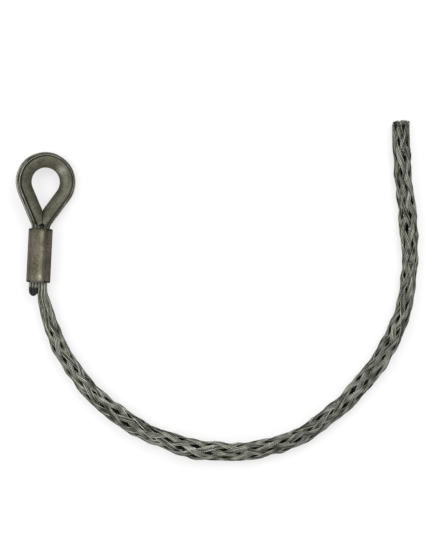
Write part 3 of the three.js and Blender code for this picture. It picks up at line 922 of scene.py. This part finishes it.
def thimble_section():
    """Closed outline, outwards and across: half ellipse inside, groove for the rope outside."""
    half = THIMBLE_HEIGHT / 2
    turn = np.linspace(-90, 90, INNER_POINTS) * RAD
    inner = np.stack([rim - THIMBLE_REACH * np.cos(turn), half * np.sin(turn)], 1)
    wide = ROPE_HALF_WIDTH + GROOVE_CLEARANCE
    floor_at = EYE_RADIUS + THIMBLE_WALL
    shoulder = ROPE_RADIUS - (ROPE_PITCH + ROPE_SQUARE) / 2 - 1.2 * GROOVE_CLEARANCE
    flat = (ROPE_PITCH + ROPE_SQUARE) / 2 + GROOVE_CLEARANCE
    lip = np.linspace(70, -60, LIP_POINTS)[:, None] * RAD
    lip_half = THIMBLE_FLANGE / 2
    round_lip = np.hstack([
        rim - LIP_INSET + LIP_REACH * np.cos(lip), half - lip_half + lip_half * np.sin(lip)
    ])
    upper = np.vstack([round_lip, [(rim - 0.6, wide), (shoulder, wide), (floor_at, flat)]])
    return np.vstack([inner, upper, upper[::-1] * (1, -1)])


def thimble_grid(section):
    """The section carried round the teardrop, cut near the eye's middle line at both ends."""
    sections = teardrop(0.0, THIMBLE_LEG + LEG_PAST_CUT, THIMBLE_LEG_STEPS, THIMBLE_TURN_STEPS)
    origins = np.array([origin for origin, _ in sections])[:, None]
    outs = np.array([out for _, out in sections])[:, None]
    grid = origins + outs * section[None, :, :1] + eye_lift * section[None, :, 1:]
    from_middle = np.arange(len(sections)) - (len(sections) - 1) / 2
    side_of = np.where(from_middle < 0, -1.0, 1.0)[:, None]
    offset = ((grid - eye_origin) @ eye_side) * side_of
    on_leg = np.abs(from_middle)[:, None] > CUT_FROM_SECTION
    short = np.where(on_leg, np.maximum(HALF_END_GAP - offset, 0.0), 0.0)
    return grid + (short * side_of)[..., None] * eye_side


def thimble_values(section, grid):
    """Surface values per point: soft peaks across the section and spots seen from above."""
    out_of_eye = np.tile(section[:, 0], len(grid))
    across = np.abs(np.tile(section[:, 1], len(grid)))
    lip_near = bell(out_of_eye, rim, 1.3) * (across > 5.9)
    # Painted shade at the inner edge, in the groove under the rope and outside the lips.
    inner_edge = bell(out_of_eye, EYE_RADIUS, 1.6)
    in_groove = (across < 5.8) & (out_of_eye > rim - 7)
    outside = smooth((out_of_eye - rim + 0.1) / 0.5)
    up = (grid.reshape(-1, 3) - eye_origin) @ eye_axis
    right = (grid.reshape(-1, 3) - eye_origin) @ eye_side
    # Painted highlight at the upper right and down the right side.
    painted_highlight = bell(up, 13.5, 6.5) * bell(right, 12.5, 7.0)
    painted_highlight = painted_highlight + 0.62 * bell(up, 2.0, 11.0) * bell(right, 19.0, 4.0)
    return {
        "wear_and_shade": 0.55 + 0.1 * lip_near - 0.4 * inner_edge - 0.45 * in_groove - 0.4 * outside,
        "stain": bell(up, 17.0, 5.0) * bell(right, -1.0, 9.0),
        "painted_highlight": painted_highlight * HIGHLIGHT_STRENGTH,
    }


section = thimble_section()
grid = thimble_grid(section)
index = np.arange(grid.shape[0] * grid.shape[1]).reshape(grid.shape[:2])
quads = np.stack([
    index[:-1], index[1:], np.roll(index[1:], -1, 1), np.roll(index[:-1], -1, 1)
], -1)
faces = quads.reshape(-1, 4).tolist() + [list(index[0])[::-1], list(index[-1])]
thimble = make_mesh(
    "thimble_steel", grid.reshape(-1, 3), faces, thimble_values(section, grid)
)
thimble.data.materials.append(steel_thimble)
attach(thimble, "root")
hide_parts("thimble")
print(thimble.name, len(faces), "faces")

# %% [markdown]
# ## Ferrule
#
# A six-sided sleeve pressed over the two ropes. The ridge seen from above is painted pale as a
# highlight, with a little wear; its end rims and side flats carry painted shade, and its flats dip
# 0.1 to 0.2 mm from the press. It is drawn a millimetre longer, a little lower and a little wider
# than the solid, as the photo's outline shows it.
# The brown stain lies on its upper half, and painted highlights lie on the ridge and the flat
# beside it near its foot.

# %% Ferrule piece
CORNER_STEPS = 8
FLAT_STEPS = 8
CHAMFER_STEPS = 6
BODY_RINGS = 40
SLEEVE_LENGTH = 54.0
SLEEVE_DROP = 1.6
SLEEVE_WIDER = 0.045
FLAT_DIP = 0.012
RIDGE_WIDTH = 3.9
# Wear on each ridge with a painted highlight on the top one, and painted shade on the side flats.
RIDGE_WEAR_AND_SHEEN = np.array([0.1, 0.62, 0.1, 0.1, 0.1, 0.1])
FLAT_SHADE = np.array([0.24, 0.0, 0.38, 0.3, 0.3, 0.3])
SHADE_AT = -5.2
SHADE_WIDTH = 1.6


def hexagon(inset):
    """Outline of the sleeve: arcs of the corner radius joined by straight flats."""
    reach = corner_inset - inset / math.cos(30 * RAD)
    at = (60.0 * np.arange(6) + FERRULE_ROLL)[:, None] * RAD
    normal = at + np.linspace(-30, 30, CORNER_STEPS)[None, :] * RAD
    arc = np.stack([
        reach * np.cos(at) + CORNER_RADIUS * np.cos(normal),
        reach * np.sin(at) + CORNER_RADIUS * np.sin(normal),
    ], -1)
    start, end = arc[:, -1], np.roll(arc[:, 0], -1, 0)
    share = (np.arange(1, FLAT_STEPS + 1) / (FLAT_STEPS + 1))[None, :, None]
    flats = start[:, None] * (1 - share) + end[:, None] * share
    return np.concatenate([arc, flats], 1).reshape(-1, 2)


def bore(outline):
    """Oval bore, one point under each outline point, on the same ray from the middle."""
    ray = unit(outline)
    back = EYE_ROLL * RAD
    c = np.abs(ray[:, 0] * math.cos(back) - ray[:, 1] * math.sin(back))
    s = np.abs(ray[:, 0] * math.sin(back) + ray[:, 1] * math.cos(back))
    flat = BORE_RADIUS / np.maximum(s, 1e-6)
    bent = ROPE_SPACING * c + np.sqrt(np.maximum(BORE_RADIUS**2 - (ROPE_SPACING * s) ** 2, 0))
    return ray * np.where(flat * c <= ROPE_SPACING, flat, bent)[:, None]


def sleeve_rings():
    """Rings from bore to bore over chamfer, body and chamfer: outline, distance and inset.

    A chamfer is a quarter circle. An inset of -1 marks the two rings of the bore.
    """
    turn = np.linspace(90, 0, CHAMFER_STEPS)[:-1] * RAD
    ends = [(CHAMFER * (1 - math.sin(a)), CHAMFER * (1 - math.cos(a))) for a in turn]
    body = np.linspace(CHAMFER, FERRULE_LENGTH - CHAMFER, BODY_RINGS)
    rows = [(0.0, -1.0)] + ends + [(step, 0.0) for step in body]
    rows += [(FERRULE_LENGTH - step, inset) for step, inset in ends[::-1]]
    rows += [(FERRULE_LENGTH, -1.0)]
    rings = [bore(hexagon(0.0)) if inset < 0 else hexagon(inset) for _, inset in rows]
    along, inset = np.array(rows).T
    return np.array(rings), along, inset


def sleeve_grid(rings, along, outer):
    """Rings with dipped flats, set out along the ferrule's axis."""
    press = np.concatenate([np.zeros(CORNER_STEPS), np.hanning(FLAT_STEPS + 2)[1:-1]])
    dip = np.tile(press, 6)
    swing = 0.006 * np.sin(along[:, None] * 0.19 + np.arange(len(dip))[None, :] * 0.4)
    rings = rings * (1.0 - outer * dip[None, :] * (FLAT_DIP + swing))[..., None]
    stretched = 1.0 + SLEEVE_WIDER * outer
    return (
        bottom
        + ferrule_axis * (along[:, None, None] * SLEEVE_LENGTH / FERRULE_LENGTH - SLEEVE_DROP)
        + unit(np.cross(ferrule_axis, UP)) * (rings[..., :1] * stretched[..., None])
        + UP * rings[..., 1:]
    )


def sleeve_values(along, outer):
    """Surface values per point, from the distance to each ridge and to the ends."""
    outline = hexagon(0.0)
    step = np.linalg.norm(outline - np.roll(outline, 1, 0), axis=1).cumsum()
    corner_at = step.reshape(6, -1)[:, :CORNER_STEPS].mean(1)
    from_corner = np.abs(step[:, None] - corner_at[None])
    from_corner = np.minimum(from_corner, step[-1] - from_corner)
    # Ridges: a little wear on each, and a painted highlight along the top one.
    ridge = (bell(from_corner, 0.0, RIDGE_WIDTH) * RIDGE_WEAR_AND_SHEEN).sum(1)
    beside = step - corner_at[1]
    # Painted shade at the end rims.
    rim_shade = bell(np.minimum(along, FERRULE_LENGTH - along), 0.9, 1.2)[:, None] * outer
    # Painted shade on the side flats.
    flat_shade = np.repeat(FLAT_SHADE, CORNER_STEPS + FLAT_STEPS) * (1.0 - ridge)
    shade = bell(beside, SHADE_AT, SHADE_WIDTH)
    wear_and_shade = 0.5 + (0.5 * ridge - flat_shade - 0.3 * shade)[None, :] * outer - 0.4 * rim_shade
    stain = bell(along, 34.0, 11.0)[:, None] * (1.0 - 0.9 * ridge)[None, :]
    # Painted highlights on the ridge and the flat beside it near the foot.
    on_ridge = bell(from_corner[:, 1], 0.0, 3.2)[None, :] * bell(along, 5.0, 6.0)[:, None]
    on_flat = bell(beside, 7.0, 4.5)[None, :] * bell(along, 6.0, 4.5)[:, None]
    painted_highlight = (0.6 * on_ridge + 0.4 * on_flat) * outer
    # Painted shade inside the bore.
    return {"wear_and_shade": (wear_and_shade - 0.5 * (~outer)).ravel(), "stain": stain.ravel(), "painted_highlight": painted_highlight.ravel()}


rings, along, inset_of = sleeve_rings()
outer = (inset_of >= 0)[:, None]
grid = sleeve_grid(rings, along, outer)
index = np.arange(grid.shape[0] * grid.shape[1]).reshape(grid.shape[:2])
far = np.roll(index, -1, 0)
quads = np.stack([index, np.roll(index, -1, 1), np.roll(far, -1, 1), far], -1)
faces = quads.reshape(-1, 4)[:, ::-1].tolist()
ferrule = make_mesh("ferrule_steel", grid.reshape(-1, 3), faces, sleeve_values(along, outer))
ferrule.data.materials.append(steel_ferrule)
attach(ferrule, "root")
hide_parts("ferrule")
print(ferrule.name, len(faces), "faces")

# %% [markdown]
# ## Floor
#
# The grip lies on a white sheet. Rays that look at the sheet see six tenths of plain white near
# the grip, rising to all white between 0.5 and 1.3 m from the middle. The rest is the sheet's own
# lit surface, which keeps the shadow. Rays that light the grip see only the lit surface.

# %% Floor
FLOOR_REACH = 6.0
VEIL_FROM = 0.5
VEIL_TO = 1.3
VEIL_NEAR = 0.6

corners = [(-1, -1), (1, -1), (1, 1), (-1, 1)]
floor_mesh = bpy.data.meshes.new("floor")
floor_mesh.from_pydata(
    [(x * FLOOR_REACH, y * FLOOR_REACH, 0) for x, y in corners], [], [(0, 1, 2, 3)]
)
floor = bpy.data.objects.new("floor", floor_mesh)
bpy.context.scene.collection.objects.link(floor)
paper, tree = new_material("floor_white")
plain = add_node(
    tree, "ShaderNodeBsdfPrincipled", Base_Color=(0.9, 0.9, 0.9, 1.0), Roughness=0.9
)
white = add_node(tree, "ShaderNodeEmission", Color=(1.0, 1.0, 1.0, 1.0), Strength=1.0)
place = add_node(tree, "ShaderNodeTexCoord").outputs["Object"]
distance = add_node(tree, "ShaderNodeVectorMath", {"operation": "LENGTH"}, i0=place)
share = remap(tree, distance.outputs["Value"], VEIL_FROM, VEIL_TO, VEIL_NEAR, 1.0)
veil = add_node(
    tree, "ShaderNodeMixShader", i0=times(tree, looked_at(tree), share),
    i1=plain.outputs[0], i2=white.outputs[0],
)
add_node(tree, "ShaderNodeOutputMaterial", Surface=veil.outputs[0])
floor_mesh.materials.append(paper)
print("floor", 2 * FLOOR_REACH, "m wide")

# %% [markdown]
# ## Lights
#
# A white sky lights everything softly. A lamp at the upper right is the key, and a wider one
# at the left fills. Rays that look past the floor see the sky at full white.

# %% Lights
SKY_STRENGTH = 0.75
LAMP_WATTS = 10.5

world = bpy.data.worlds.new("studio")
bpy.context.scene.world = world
world.use_nodes = True
sky = world.node_tree.nodes["Background"]
sky.inputs["Color"].default_value = (1, 1, 1, 1)
strength = remap(world.node_tree, looked_at(world.node_tree), 0.0, 1.0, SKY_STRENGTH, 1.0)
world.node_tree.links.new(strength, sky.inputs["Strength"])


def add_lamp(name, place, size, watts):
    """Square area lamp at a place, aimed at the middle of the floor, in metres and watts."""
    lamp = bpy.data.lights.new(name, "AREA")
    lamp.size = size
    lamp.energy = watts
    made = bpy.data.objects.new(name, lamp)
    made.location = place
    made.rotation_euler = (-Vector(place)).to_track_quat("-Z", "Y").to_euler()
    bpy.context.scene.collection.objects.link(made)
    return made


key = add_lamp("key", (0.45, 0.75, 1.3), 1.0, LAMP_WATTS)
fill = add_lamp("fill", (-1.0, 0.1, 1.4), 1.2, LAMP_WATTS)
print("lamps", key.name, fill.name, "of", LAMP_WATTS, "watts each")

# %% [markdown]
# ## Camera
#
# The camera looks straight down on the middle of the picture field, which is 440 by 550 mm at
# the height where the middle of the tube lies.

# %% Camera
CAMERA_HEIGHT = 1.6
FIELD = 0.55
FIELD_LEVEL = 0.01
FIELD_MIDDLE = (3.0, 16.0)
SENSOR = 36.0

camera_data = bpy.data.cameras.new("camera")
camera_data.sensor_fit = "VERTICAL"
camera_data.sensor_height = SENSOR
camera_data.lens = SENSOR * (CAMERA_HEIGHT - FIELD_LEVEL) / FIELD
camera = bpy.data.objects.new("camera", camera_data)
over_x, over_y = (np.array(FIELD_MIDDLE) + shift[:2]) * MM
camera.location = (over_x, over_y, CAMERA_HEIGHT)
bpy.context.scene.collection.objects.link(camera)
bpy.context.scene.camera = camera
bpy.context.scene.view_settings.view_transform = "Standard"
print("camera lens", round(camera_data.lens, 1), "mm")
